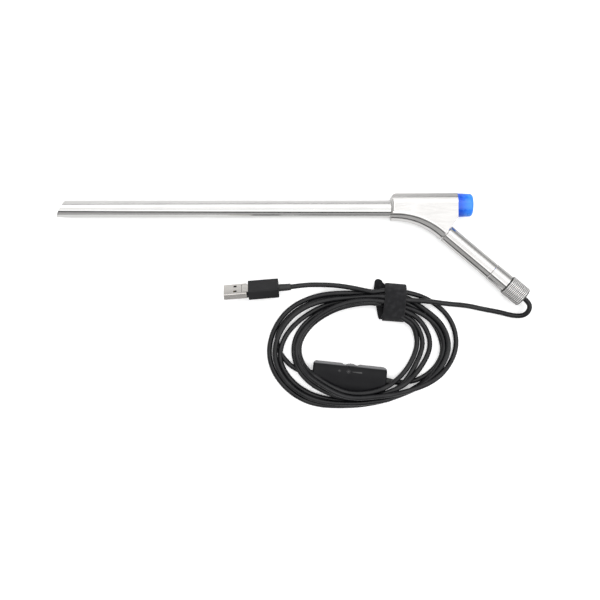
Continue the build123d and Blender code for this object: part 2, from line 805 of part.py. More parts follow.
# ---- Plug: overmould, collar, and a metal shell that swings up to bare the small connector ------------------
overmould_corner = 1.0
back_rounding = 0.8
collar_taper = 0.2
with BuildPart() as usb_overmould:
    with BuildSketch(Plane(origin=plug_face, x_dir=plug_plane.y_dir, z_dir=plug_direction)):
        RectangleRounded(overmould_width, overmould_height, overmould_corner)
    extrude(amount=overmould_length)
    back = usb_overmould.faces().sort_by(lambda f: f.center().dot(plug_direction))[-1]
    fillet(back.edges(), back_rounding)
finish(usb_overmould, "usb_overmould")

collar_plane = Plane(
    origin=Vector(*plug_face) + plug_direction * overmould_length,
    x_dir=plug_plane.y_dir,
    z_dir=plug_direction,
)
with BuildPart() as usb_relief:
    with BuildSketch(collar_plane):
        Circle(collar_diameter / 2)
    with BuildSketch(collar_plane.offset(collar_length)):
        Circle(collar_diameter / 2 - collar_taper)
    loft()
finish(usb_relief, "usb_relief")

# Across the plug, looking back at the overmould from the open end: +X across the wide face.
shell_corner = 0.6
cross_plane = Plane(origin=plug_face, x_dir=-plug_plane.y_dir, z_dir=-plug_direction)
half_width = plug_width / 2
half_height = plug_height / 2
strip_width = 1.6
strip_back = 1.3
window_size = (2.3, 2.1)
window_places = [(-9.4, -2.9), (-9.4, 2.9)]
head_radius = 0.95
head_height = 0.25
shank_radius = 0.6
pin_gap = 0.04
pin_plane = Plane(
    origin=plug_plane.from_local_coords((-pin_back, 0, pin_rise)),
    x_dir=plug_direction,
    z_dir=plug_plane.y_dir,
)
with BuildPart() as usb_shell:
    with BuildSketch(cross_plane.offset(strip_back)) as channel:
        Rectangle(plug_width, plug_height)
        fillet(channel.vertices().group_by(Axis.Y)[-1], shell_corner)
        with Locations((0, -plug_sheet)):
            Rectangle(plug_width - 2 * plug_sheet, plug_height, mode=Mode.SUBTRACT)
    extrude(amount=plug_length - strip_back)
    with BuildSketch(plug_plane.offset(half_height - 2 * plug_sheet)):
        with Locations((-slit_back / 2, 0)):
            Rectangle(slit_back, plug_width - 2 * strip_width)
        with Locations(*window_places):
            Rectangle(*window_size)
    extrude(amount=4 * plug_sheet, mode=Mode.SUBTRACT)
    with BuildSketch(pin_plane):
        Circle(shank_radius + pin_gap)
    extrude(amount=plug_width, both=True, mode=Mode.SUBTRACT)
finish(usb_shell, "usb_shell")

plate_gap = 0.3
rear_half_width = half_width - strip_width - 0.2
slab_top = -0.35             # insulating slab under the contacts, from the plug's middle
slab_half_gap = 0.45         # beside the slab, inside the metal shell
tongue_step = 0.2
tongue_width = 8.4
core_length = 10.5
micro_length = 6.0
with BuildPart() as usb_rear_plate:
    with BuildSketch(plug_plane.offset(half_height - plug_sheet)):
        with Locations((-(slit_back - plate_gap) / 2, 0)):
            Rectangle(slit_back - plate_gap, 2 * rear_half_width)
    extrude(amount=plug_sheet)
finish(usb_rear_plate, "usb_rear_plate")

with BuildPart() as usb_core:
    with BuildSketch(plug_plane.offset(-half_height)):
        with Locations((-core_length / 2, 0)):
            Rectangle(core_length, plug_width - 2 * slab_half_gap)
    extrude(amount=half_height + slab_top)
    with BuildSketch(plug_plane.offset(slab_top)):
        with Locations((-(slit_back - plate_gap) / 2, 0)):
            Rectangle(slit_back - plate_gap, 2 * rear_half_width)
    extrude(amount=half_height - plug_sheet - slab_top)
    with BuildSketch(plug_plane.offset(slab_top - tongue_step)):
        with Locations((-core_length - micro_length / 2, 0)):
            Rectangle(micro_length, tongue_width)
    extrude(amount=tongue_step)
    with BuildSketch(pin_plane):
        Circle(shank_radius + glue_gap)
    extrude(amount=plug_width, both=True, mode=Mode.SUBTRACT)
finish(usb_core, "usb_core")

with BuildPart() as usb_hinge_pin:
    with BuildSketch(pin_plane):
        Circle(shank_radius)
    extrude(amount=half_width + bore_gap, both=True)
    head_seat = half_width + bore_gap
    with BuildSketch(pin_plane.offset(head_seat), pin_plane.offset(-head_seat - head_height)):
        Circle(head_radius)
    extrude(amount=head_height)
finish(usb_hinge_pin, "usb_hinge_pin")

contact_places = [(-3.5, 7.0), (-1.0, 6.0), (1.0, 6.0), (3.5, 7.0)]   # across the plug, and the length
contact_width = 1.0
contact_thickness = 0.12
contact_inset = 0.3
with BuildPart() as usb_contacts:
    with BuildSketch(plug_plane.offset(slab_top)):
        for across, length in contact_places:
            with Locations((-core_length - micro_length + contact_inset + length / 2, across)):
                Rectangle(length, contact_width)
    extrude(amount=contact_thickness)
finish(usb_contacts, "usb_contacts")

micro_width = 6.85
micro_sheet = 0.22
micro_slope = 0.8            # width that each lower corner loses
micro_bottom = -half_height + bore_gap
micro_top = slab_top - tongue_step - glue_gap
micro_tongue_size = (4.6, 0.55)
micro_tongue_rise = 0.2
micro_tongue_recess = 0.6
with BuildPart() as micro_usb_shell:
    micro_plane = Plane(
        origin=plug_plane.from_local_coords((-core_length, 0, (micro_bottom + micro_top) / 2)),
        x_dir=-plug_plane.y_dir,
        z_dir=-plug_direction,
    )
    micro_height = micro_top - micro_bottom
    with BuildSketch(micro_plane) as micro_outline:
        with BuildLine():
            Polyline(
                (-micro_width / 2, micro_height / 2),
                (micro_width / 2, micro_height / 2),
                (micro_width / 2, 0),
                (micro_width / 2 - micro_slope, -micro_height / 2),
                (-micro_width / 2 + micro_slope, -micro_height / 2),
                (-micro_width / 2, 0),
                close=True,
            )
        make_face()
        offset(amount=-micro_sheet, mode=Mode.SUBTRACT)
    extrude(amount=micro_length)
finish(micro_usb_shell, "micro_usb_shell")

with BuildPart() as micro_usb_tongue:
    with BuildSketch(micro_plane):
        with Locations((0, micro_tongue_rise)):
            Rectangle(*micro_tongue_size)
    extrude(amount=micro_length - micro_tongue_recess)
finish(micro_usb_tongue, "micro_usb_tongue")
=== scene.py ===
# An inspection camera on a straight steel working tube: tube, Y-shaped block with a capped port, handle with a
# clamp nut, and a USB cable with an in-line dimmer, coiled and tied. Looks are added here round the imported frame.
import math

import bmesh
import bpy
import numpy as np
from mathutils import Matrix, Vector, noise
from mathutils.bvhtree import BVHTree


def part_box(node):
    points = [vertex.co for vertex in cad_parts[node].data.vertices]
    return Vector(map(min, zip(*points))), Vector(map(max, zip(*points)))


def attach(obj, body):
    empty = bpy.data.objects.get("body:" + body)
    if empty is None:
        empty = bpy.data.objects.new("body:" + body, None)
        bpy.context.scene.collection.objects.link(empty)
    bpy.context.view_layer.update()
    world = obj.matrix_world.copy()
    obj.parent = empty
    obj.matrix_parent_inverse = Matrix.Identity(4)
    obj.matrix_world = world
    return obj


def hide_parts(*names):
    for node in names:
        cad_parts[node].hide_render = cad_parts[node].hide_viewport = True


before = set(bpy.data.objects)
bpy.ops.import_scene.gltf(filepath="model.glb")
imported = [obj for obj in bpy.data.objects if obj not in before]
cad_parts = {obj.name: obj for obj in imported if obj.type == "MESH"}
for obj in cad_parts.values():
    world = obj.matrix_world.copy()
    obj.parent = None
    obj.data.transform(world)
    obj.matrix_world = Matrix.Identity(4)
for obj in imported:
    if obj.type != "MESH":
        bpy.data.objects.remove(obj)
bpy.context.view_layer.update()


# ---- Bench, light and camera -----------------------------------------------------------------------------
# The instrument lies on a plain white bench top inside a white light tent. One dark seam runs round the tent,
# tilted to the right, and draws the dark lines on the polished steel. The far wall is greyer, a ring of lamps
# shines from overhead, and the camera hangs straight above. The bench glows a little to the camera alone.
class Signal:
    """What leaves a shader node; arithmetic on it adds Math nodes."""

    def __init__(self, wiring, socket):
        self.wiring, self.socket = wiring, socket

    def sum(self, operation, *values):
        names = ("Value", "Value_001", "Value_002")
        return self.wiring.add("ShaderNodeMath", {"operation": operation}, **dict(zip(names, values)))

    def __add__(self, other):
        return self.sum("ADD", self, other)

    def __mul__(self, other):
        return self.sum("MULTIPLY", self, other)

    def __sub__(self, other):
        return self.sum("SUBTRACT", self, other)

    def __rsub__(self, other):
        return self.sum("SUBTRACT", other, self)

    def __truediv__(self, other):
        return self.sum("DIVIDE", self, other)

    def __abs__(self):
        return self.sum("ABSOLUTE", self)

    __radd__, __rmul__ = __add__, __mul__

    def step(self, low, high):
        """0 below low, 1 above high, smooth between."""
        settings = {"interpolation_type": "SMOOTHSTEP"}
        return self.wiring.add("ShaderNodeMapRange", settings, Value=self, From_Min=low, From_Max=high)


class Wiring:
    """The nodes of one material, or of the tent."""

    def __init__(self, owner, surface):
        owner.use_nodes = True
        self.owner, self.tree = owner, owner.node_tree
        self.surface = self.tree.nodes[surface]

    def feed(self, node, **values):
        sockets = {socket.identifier.replace(" ", "_"): socket for socket in node.inputs}
        for name, value in values.items():
            if isinstance(value, Signal):
                self.tree.links.new(value.socket, sockets[name])
            elif sockets[name].type == "RGBA" and len(value) == 3:
                sockets[name].default_value = (*value, 1)
            else:
                sockets[name].default_value = value

    def add(self, kind, settings=None, output=0, **values):
        """A node with these settings, then these values or links on its sockets."""
        node = self.tree.nodes.new(kind)
        for name, value in (settings or {}).items():
            setattr(node, name, value)
        self.feed(node, **values)
        return Signal(self, node.outputs[output])

    def mix(self, amount, first, second, blend="MIX"):
        settings = {"data_type": "RGBA", "blend_type": blend}
        return self.add("ShaderNodeMix", settings, 2, Factor_Float=amount, A_Color=first, B_Color=second)

    def along(self, point, direction):
        """How far a point lies along a direction."""
        settings = {"operation": "DOT_PRODUCT"}
        return self.add("ShaderNodeVectorMath", settings, 1, Vector=point, Vector_001=direction)

    def base_colour(self):
        """What already feeds the base colour."""
        return Signal(self, self.surface.inputs["Base Color"].links[0].from_socket)


tent_white = 1.5
lamps_extra = 0.9
far_right = (0.64, 0.77, 0)
near_left = (-0.64, -0.77, 0)
seam_angle = math.radians(63.5)
seam_lean = math.radians(27)
seam_heading = math.radians(16)
seam_axis = (
    math.sin(seam_lean) * math.cos(seam_heading),
    math.sin(seam_lean) * math.sin(seam_heading),
    math.cos(seam_lean),
)
world = bpy.data.worlds.new("tent")
bpy.context.scene.world = world
tent = Wiring(world, "Background")
towards = tent.add("ShaderNodeTexCoord", output="Generated")
from_axis = tent.add("ShaderNodeMath", {"operation": "ARCCOSINE"}, Value=tent.along(towards, seam_axis))
near_side = tent.along(towards, (0, -1, 0)).step(-0.2, 0.7)
left_side = tent.along(towards, near_left).step(0, 0.6)
seam_width = near_side * math.radians(4) + math.radians(3.4)
off_seam = abs(from_axis - seam_angle) / seam_width
seam = 1 - off_seam.step(0.55, 1.1)
shaded = from_axis.step(math.radians(20), math.radians(62)) * left_side * 0.5
outside = from_axis.step(seam_angle, seam_angle + math.radians(5)) * 0.22
far_wall = tent.along(towards, far_right).step(0.8, 0.88) * 0.6
overhead = tent.along(towards, (0, 0, 1))
lamps = overhead.step(0.76, 0.82) - overhead.step(0.9, 0.95)
glow = (1 - shaded) * (1 - outside) * (1 - far_wall) * (1 - seam * 0.95) * (lamps * lamps_extra + 1) * tent_white
seen = tent.add("ShaderNodeLightPath", output="Is Camera Ray")
tent.feed(tent.surface, Color=(1, 1, 1), Strength=glow * (1 - seen) + seen)

bench = bmesh.new()
bmesh.ops.create_grid(bench, x_segments=8, y_segments=8, size=6)
bench_mesh = bpy.data.meshes.new("bench")
bench.to_mesh(bench_mesh)
bench_top = bpy.data.objects.new("bench", bench_mesh)
bpy.context.scene.collection.objects.link(bench_top)
paint = Wiring(bpy.data.materials.new("bench_white"), "Principled BSDF")
bench_place = paint.add("ShaderNodeTexCoord", output="Object")
mottle = paint.add("ShaderNodeTexNoise", Vector=bench_place, Scale=14, Detail=3)
# the steel mirrors a bench that is greyer towards the far right
mirrored = paint.add("ShaderNodeLightPath", output="Is Glossy Ray")
far_bench = paint.along(bench_place, far_right).step(0.085, 0.12)
in_mirror = paint.mix(far_bench, (0.86, 0.86, 0.86), (0.5, 0.5, 0.5))
plain_white = paint.mix(mottle, (0.93, 0.93, 0.93), (0.95, 0.95, 0.95))
paint.feed(
    paint.surface,
    Base_Color=paint.mix(mirrored, plain_white, in_mirror),
    Roughness=mottle * 0.1 + 0.6,
    Emission_Color=(1, 1, 1),
    Emission_Strength=paint.add("ShaderNodeLightPath", output="Is Camera Ray") * 0.3,
)
bench_mesh.materials.append(paint.owner)

camera_data = bpy.data.cameras.new("camera")
camera_data.lens = 54.6
camera_data.sensor_width = 36
camera_data.clip_start = 0.01
camera = bpy.data.objects.new("camera", camera_data)
camera.location = (0.0045, -0.0365, 0.6586)
bpy.context.scene.collection.objects.link(camera)
bpy.context.scene.camera = camera
bpy.context.scene.view_settings.view_transform = "Standard"

# ---- Cable -----------------------------------------------------------------------------------------------
# Round black PVC cable, 3.6 mm thick. It leaves the clamp nut in a tight bend, makes one and a half turns to the
# dimmer, then five more that end at the plug. The turns fan out on the left and are gathered by the strap.
cable = 0.0036
radius = cable / 2
strap_middle = (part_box("cable_strap")[0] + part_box("cable_strap")[1]) / 2
strap_turn = math.radians(-4.4)
dimmer_middle = (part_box("dimmer_top_shell")[0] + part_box("dimmer_top_shell")[1]) / 2
dimmer_turn = math.radians(-6)
strap_layer = 0.0008

lead_route = [
    (0.1642, -0.0351, 0.0086),
    (0.168, -0.0383, 0.0085),
    (0.169, -0.0421, 0.0078),
    (0.1675, -0.0458, 0.0065),
    (0.164, -0.048, 0.0049),
    (0.1576, -0.0478, 0.0029),
    (0.1486, -0.0453, 0.0019),
    (0.137, -0.0432, 0.00185),
    (0.1245, -0.0404, 0.0026),
    (0.111, -0.0394, 0.0058),
    (0.097, -0.0374, 0.0069),
    (0.084, -0.0369, 0.0066),
]
tail_route = [
    (0.0565, -0.0309, 0.0086),
    (0.0485, -0.0292, 0.0081),
    (0.04, -0.0274, 0.007),
    (0.0295, -0.0259, 0.0057),
    (0.018, -0.0255, 0.0052),
    (0.0075, -0.0257, 0.0063),
    (-0.002102, -0.027109, 0.0079),
]
into_dimmer = [
    (-0.0108, -0.074, 0.008),
    (-0.0072, -0.0788, 0.007),
    (-0.0028, -0.0835, 0.006),
    (0.0009, -0.0868, 0.0052),
    (0.0044, -0.0885, 0.0046),
    (0.007875, -0.089055, 0.0046),
]
from_dimmer = [
    (0.071525, -0.095745, 0.0046),
    (0.077, -0.0959, 0.0043),
    (0.083, -0.0956, 0.0034),
    (0.0885, -0.0949, 0.0024),
    (0.0938, -0.093, 0.0018),
    (0.0985, -0.0898, 0.0018),
    (0.1032, -0.0842, 0.0018),
    (0.1068, -0.077, 0.0018),
]
# The middle line of the whole coil, clockwise from the strap, and how far outside it each turn runs.
coil_middle = np.array([
    (0.0649, -0.0343), (0.0441, -0.0343), (0.0225, -0.0387), (0.0045, -0.0494), (-0.0056, -0.0638),
    (-0.007, -0.0782), (0.0002, -0.0926), (0.016, -0.1034), (0.039, -0.1077), (0.0621, -0.1056),
    (0.0836, -0.0977), (0.098, -0.0854), (0.1052, -0.071), (0.1023, -0.0566), (0.0923, -0.0444),
    (0.08, -0.0365),
])
ahead = np.roll(coil_middle, -1, axis=0) - np.roll(coil_middle, 1, axis=0)
outward = np.stack([ahead[:, 1], -ahead[:, 0]], axis=1) / np.linalg.norm(ahead, axis=1)[:, None]
spread_at = (1, 3, 5, 7, 8, 9, 11, 12.5, 14, 15)
# Level in the pile, row in the strap, row on coming back to it, place across the strap, then millimetres outside
# the middle line.
coil_turns = {
    "outer_low": (0, 1, 0, 2.3, (2.6, 9.6, 10.2, 8.0, 4.8, 4.0, 3.4, 2.7, -1.6, -4.8)),
    "to_dimmer": (1, 0, 1, 0.4, (0.6, 5.6, 8.1, 0, 0, 0, 0, 0, 0, 0)),
    "crossing": (2, 0, 0, -3.2, (-3.0, -1.3, 3.0, 2.2, 1.2, 0.6, -10.6, -12.5, -9.0, -10.6)),
    "inner_low": (3, 1, 0, -1.4, (-3.8, -5.5, -7.4, -4.5, -0.2, -1.0, -5.8, -7.0, -5.6, -7.8)),
    "outer_high": (4, 2, 0, 0.4, (-0.8, 4.6, 6.4, 4.6, 2.9, 2.4, 5.0, 6.0, 1.5, 2.0)),
    "inner_high": (5, 1, 0.4, -5.0, (-4.9, -9.4, -11.2, -10.4, -4.8, -5.0, -14.4, -17.0, -11.5, -13.0)),
    "swinging": (6, 2, 0, -3.2, (-3.2, -8.0, -9.2, -8.2, -1.6, -1.4, 7.6, 13.5, 9.4, 5.5)),
}


def coil_turn(name, last=15):
    level, row, last_row, strap_place, spread = coil_turns[name]
    high = cable * (1 + level)
    low = 0.002 if name == "swinging" else high
    heights = (0.0034 + 0.0031 * row, high, high, low, 0.0034 + 0.0031 * last_row)
    points = []
    for i in range(last + 1):
        x, y = coil_middle[i] + outward[i] * np.interp(i, (0, *spread_at), (strap_place, *spread)) * 0.001
        points.append((x, y, np.interp(i, (1, 2.5, 11, 12.5, 15), heights)))
    return points


def spline(name, points, thickness=0.0):
    """One open NURBS spline through the cable's control points."""
    curve = bpy.data.curves.new(name, "CURVE")
    curve.dimensions = "3D"
    line = curve.splines.new("NURBS")
    line.points.add(len(points) - 1)
    for point, place in zip(line.points, points):
        point.co = (*place, 1)
    line.order_u = 3
    line.use_endpoint_u = True
    line.resolution_u = curve.resolution_u = curve.render_resolution_u = 5
    curve.bevel_depth = thickness
    curve.bevel_resolution = 4
    curve.use_fill_caps = thickness > 0
    piece = bpy.data.objects.new(name, curve)
    bpy.context.scene.collection.objects.link(piece)
    return piece


pace = 0.002


def stations(points):
    """Even stations along the spline of these control points, which is drawn out to pass through them."""
    drawn = np.array(points)
    drawn[1:-1, :2] += (2 * drawn[1:-1] - drawn[:-2] - drawn[2:])[:, :2] / 6
    piece = spline("guide", drawn)
    mesh = bpy.data.meshes.new_from_object(piece)
    line = np.array([vertex.co for vertex in mesh.vertices])
    bpy.data.objects.remove(piece)
    run = np.r_[0, np.cumsum(np.linalg.norm(np.diff(line, axis=0), axis=1))]
    even = np.linspace(0, run[-1], int(run[-1] / pace) + 1)
    return np.stack([np.interp(even, run, line[:, k]) for k in range(3)], axis=1)


def around(points, middle, turn):
    """Points in the directions of a piece that lies turned on the bench."""
    x, y = points[:, 0] - middle[0], points[:, 1] - middle[1]
    return x * math.cos(turn) + y * math.sin(turn), y * math.cos(turn) - x * math.sin(turn)


def resting_height(points):
    """The lowest that the cable's middle may be: bench, dimmer with its crowned top, or strap."""
    lengthwise, across = around(points, dimmer_middle, dimmer_turn)
    over_side = np.clip((0.0122 - np.abs(across)) / 0.0032, 0, 1)
    over_end = np.clip((0.0287 - np.abs(lengthwise)) / 0.0032, 0, 1)
    over = np.minimum(over_side, over_end)
    crown = 0.011 - 0.0028 * np.clip(np.abs(across) / 0.01, 0, 1) ** 2
    height = radius + np.where(over > 0, crown * np.sqrt(1 - (1 - over) ** 2), 0)
    lengthwise, across = around(points, strap_middle, strap_turn)
    in_strap = (np.abs(lengthwise) < 0.009) & (np.abs(across) < 0.02)
    return np.where(in_strap, np.maximum(height, 2 * strap_layer + radius), height)


before_dimmer = stations(lead_route + coil_turn("outer_high") + coil_turn("to_dimmer", 4) + into_dimmer)
first_bend = [
    (*(coil_middle[i] + outward[i] * spread * 0.001), 0.0026)
    for i, spread in ((12, 2.8), (13, 0.8), (14, -0.6), (15, -1.6))
]
after_dimmer = from_dimmer + first_bend
for name in ("outer_low", "crossing", "inner_high", "inner_low", "swinging"):
    after_dimmer = after_dimmer + coil_turn(name)
after_dimmer = stations(after_dimmer + tail_route)
lead_count = int(np.argmax(before_dimmer[:, 0] < 0.084)) + 1
tail_start = len(after_dimmer) - int(np.argmax(after_dimmer[::-1, 0] > 0.0565))

place = np.vstack([before_dimmer, after_dimmer])
count, first_count = len(place), len(before_dimmer)
piece_of = np.arange(count) >= first_count
home = place.copy()
free = np.ones(count, bool)
free[:lead_count] = free[first_count - 3 : first_count + 3] = free[first_count + tail_start :] = False
inner = piece_of[:-2] == piece_of[2:]
inner_wide = piece_of[:-8] == piece_of[8:]
rounds, settling_rounds, look_again = 620, 500, 8
strap_ceiling = 0.0116
for step in range(rounds):
    settling = step < settling_rounds
    if step % look_again == 0:
        apart = ((place[:, None] - place[None]) ** 2).sum(-1)
        one, two = np.nonzero(np.triu(apart < (1.6 * cable) ** 2, 1))
        kept = (piece_of[one] != piece_of[two]) | (two - one > 5)
        one, two = one[kept], two[kept]
    # its weight, its stiffness and its wish to stay in the turn that it was wound in
    bend = np.zeros_like(place)
    bend[1:-1][inner] = (0.5 * (place[:-2] + place[2:]) - place[1:-1])[inner]
    lift = np.zeros(count)
    lift[4:-4][inner_wide] = (0.5 * (place[:-8, 2] + place[8:, 2]) - place[4:-4, 2])[inner_wide]
    lengthwise, across = around(place, strap_middle, strap_turn)
    tied = (np.abs(lengthwise) < 0.013) & (np.abs(across) < 0.02)
    stay = np.where(tied, 0.2, 0.15) * (1 if settling else 0.3)
    change = bend * (0.5, 0.5, 0.8) * (1 if settling else 0.5)
    change[:, 2] += 0.25 * lift * settling - np.where(tied, 0, 0.00012 if settling else 0.00002)
    change[:, 2] += np.where(tied, 0.1, 0) * (home - place)[:, 2]
    change[:, :2] += (home - place)[:, :2] * stay[:, None]
    place[free] += change[free]
    # turns that touch push each other aside and up
    for _ in range(2):
        gap = place[one] - place[two]
        distance = np.linalg.norm(gap, axis=1) + 1e-12
        hit = distance < cable
        a, b, gap, distance = one[hit], two[hit], gap[hit], distance[hit]
        upward = np.where(np.abs(gap[:, 2]) > 0.0004, np.sign(gap[:, 2]), np.sign(home[a, 2] - home[b, 2] + 1e-9))
        needed = np.sqrt(np.maximum(0, cable**2 - (gap[:, :2] ** 2).sum(1))) - gap[:, 2] * upward
        push = np.zeros_like(gap)
        sideways = 0.5 * (cable - distance) * np.where(tied[a], 0.5, 0.3)
        push[:, :2] = gap[:, :2] / distance[:, None] * sideways[:, None]
        push[:, 2] = upward * np.minimum(needed, 0.0015) * np.where(tied[a], 0.2, 0.3)
        moved, shares = np.zeros_like(place), np.zeros(count)
        np.add.at(moved, a, push * np.where(free[b], 1, 2)[:, None])
        np.add.at(moved, b, -push * np.where(free[a], 1, 2)[:, None])
        np.add.at(shares, a, 1)
        np.add.at(shares, b, 1)
        touched = free & (shares > 0)
        place[touched] += moved[touched] / np.maximum(1, shares[touched] * 0.6)[:, None]
    place[free, 2] = np.maximum(place, resting_height(place)[:, None])[free, 2]
    capped = (np.abs(lengthwise) < 0.0095) & (np.abs(across) < 0.02) & free
    place[capped, 2] = np.minimum(place[capped, 2], strap_ceiling - radius)

every = 3
lead_points = lead_route + [tuple(p) for p in place[lead_count + 3 : first_count - 3 : every]] + into_dimmer[-1:]
tail_points = (
    from_dimmer[:1]
    + [tuple(p) for p in place[first_count + 3 : first_count + tail_start - 2 : every]]
    + tail_route
)
cable_to_dimmer = spline("cable_to_dimmer", lead_points, radius)
cable_to_plug = spline("cable_to_plug", tail_points, radius)

jacket = Wiring(bpy.data.materials.new("cable_jacket"), "Principled BSDF")
jacket_place = jacket.add("ShaderNodeTexCoord", output="Object")
grain = jacket.add("ShaderNodeTexNoise", Vector=jacket_place, Scale=2600, Detail=3)
handling = jacket.add("ShaderNodeTexNoise", Vector=jacket_place, Scale=70, Detail=3)
jacket.feed(
    jacket.surface,
    Base_Color=jacket.mix(handling.step(0.35, 0.75), (0.006, 0.006, 0.007), (0.014, 0.014, 0.015)),
    Roughness=handling * 0.12 + grain * 0.05 + 0.17,
    Normal=jacket.add("ShaderNodeBump", Height=grain, Strength=0.25, Distance=0.00003),
    Specular_IOR_Level=0.27,
)
for piece in (cable_to_dimmer, cable_to_plug):
    piece.data.materials.append(jacket.owner)
    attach(piece, "instrument")
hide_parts("cable_lead")
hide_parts("cable_coil", "cable_tail")

# ---- Strap -----------------------------------------------------------------------------------------------
# A black hook-and-loop cable tie. Its pointed end lies under the turns and shows at the left, then it goes nearly
# twice round them and holds to itself.
strap_half = 0.0076
strap_length_steps, strap_width_steps = 150, 16
lengthwise, across = around(place, strap_middle, strap_turn)
bundle = np.stack([across, place[:, 2]], axis=1)[(np.abs(lengthwise) < 0.0085) & (np.abs(across) < 0.0095)]
slack = [(-0.012, 0.0042), (0.0107, 0.0042)]  # the strap is a little longer than it need be
bundle = np.vstack([bundle, slack])


def wrap(layer):
    """Round the bundle in the strap's own plane, from under its far side, under it and over the top."""
    angles = np.radians(np.arange(-40, -400, -4))
    directions = np.stack([np.cos(angles), np.sin(angles)], axis=1)
    outermost = bundle[np.argmax(bundle @ directions.T, axis=0)]
    points = outermost + directions * (radius + strap_layer * (layer - 1) + 0.00004)
    points[:, 1] = np.maximum(points[:, 1], strap_layer * (3 - layer))
    return points


first_wrap, second_wrap = wrap(1), wrap(2)
outer_from = len(first_wrap) - 12
changing = np.linspace(0, 1, 12)[:, None]
turn_over = first_wrap[outer_from:] * (1 - changing) + second_wrap[outer_from:] * changing
second_share = 0.82  # the second round stops short of a full one
last_kept = int(len(second_wrap) * second_share)
flap = [
    (first_wrap[0, 0] + reach, first_wrap[0, 1] + rise)
    for reach, rise in ((0.0032, 0.0028), (0.0021, 0.0016), (0.0011, 0.0005))
]
strap_line = np.vstack([flap, first_wrap[:outer_from], turn_over, second_wrap[1:last_kept]])
strap_run = np.r_[0, np.cumsum(np.linalg.norm(np.diff(strap_line, axis=0), axis=1))]
strap_even = np.linspace(0, strap_run[-1], strap_length_steps + 1)
strap_line = np.stack([np.interp(strap_even, strap_run, strap_line[:, k]) for k in range(2)], axis=1)
for _ in range(3):
    strap_line[1:-1] = 0.25 * strap_line[:-2] + 0.5 * strap_line[1:-1] + 0.25 * strap_line[2:]
under_side = strap_run[3] + np.ptp(bundle[:, 0])
band = bmesh.new()
bmesh.ops.create_grid(band, x_segments=strap_width_steps, y_segments=strap_length_steps, size=1)
uv = band.loops.layers.uv.new("cloth")
for face in band.faces:
    for loop in face.loops:
        x, y, _ = loop.vert.co
        loop[uv].uv = ((x + 1) * strap_half, (y + 1) / 2 * strap_run[-1])
for vertex in band.verts:
    x, y, _ = vertex.co
    run = (y + 1) / 2 * strap_run[-1]
    half = strap_half * np.interp(run, (0, 0.0004, 0.0012, 0.0025, 0.009, 0.014), (0.06, 0.2, 0.3, 0.36, 0.72, 1))
    end_left = strap_run[-1] - run
    half *= np.interp(end_left, (0, 0.0005, 0.0015), (0.9, 0.97, 1))
    shift = np.interp(
        run,
        (0, 0.003, 0.009, 0.014, under_side, under_side + 0.012),
        (-0.0128, -0.0122, -0.0098, -0.0068, -0.0035, 0),
    )
    station = (y + 1) / 2 * strap_length_steps
    middle_y, middle_z = (np.interp(station, np.arange(strap_length_steps + 1), strap_line[:, k]) for k in range(2))
    fray = 0.00012 * noise.noise((run * 2500, x * 3, 5)) if abs(x) > 0.95 else 0
    side = shift + x * half + fray
    vertex.co = (
        strap_middle.x + side * math.cos(strap_turn) - middle_y * math.sin(strap_turn),
        strap_middle.y + side * math.sin(strap_turn) + middle_y * math.cos(strap_turn),
        middle_z,
    )
bmesh.ops.solidify(band, geom=band.faces[:], thickness=strap_layer * 0.9)
bmesh.ops.recalc_face_normals(band, faces=band.faces[:])
strap_mesh = bpy.data.meshes.new("strap")
band.to_mesh(strap_mesh)
strap_mesh.polygons.foreach_set("use_smooth", [True] * len(strap_mesh.polygons))
strap = bpy.data.objects.new("strap", strap_mesh)
bpy.context.scene.collection.objects.link(strap)
cloth = Wiring(bpy.data.materials.new("strap_cloth"), "Principled BSDF")
thread_place = cloth.add("ShaderNodeUVMap", {"uv_map": "cloth"})
warp, weft = (
    cloth.add(
        "ShaderNodeTexWave",
        {"bands_direction": direction},
        1,
        Vector=thread_place,
        Scale=threads,
        Distortion=unevenness,
        Detail=2,
    )
    for direction, threads, unevenness in (("X", 520, 2), ("Y", 420, 3))
)
pile = cloth.add("ShaderNodeTexNoise", Vector=thread_place, Scale=2600, Detail=4)
lint = cloth.add("ShaderNodeTexNoise", Vector=thread_place, Scale=260, Detail=4)
thread = warp * 0.35 + weft * 0.35 + pile * 0.6
cloth.feed(
    cloth.surface,
    Base_Color=cloth.mix(lint.step(0.4, 0.75) * 0.6 + pile * 0.4, (0.006, 0.006, 0.007), (0.026, 0.026, 0.028)),
    Roughness=0.8 + pile * 0.15,
    Normal=cloth.add("ShaderNodeBump", Height=thread, Strength=0.9, Distance=0.00018),
    Specular_IOR_Level=0.2,
    Sheen_Weight=0.12,
    Sheen_Roughness=0.5,
)
strap_mesh.materials.append(cloth.owner)
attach(strap, "instrument")
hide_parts("cable_strap")


# ---- Working tube ----------------------------------------------------------------------------------------
# Seamless stainless tube, cut to a bevel at the tip and ground lengthwise, with a thin steel liner inside as the
# working channel and a turned insert at the tip that holds liner and camera.
def finish_nodes(material, *names):
    for name in names:
        for material_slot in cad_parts[name].material_slots:
            material_slot.material = material


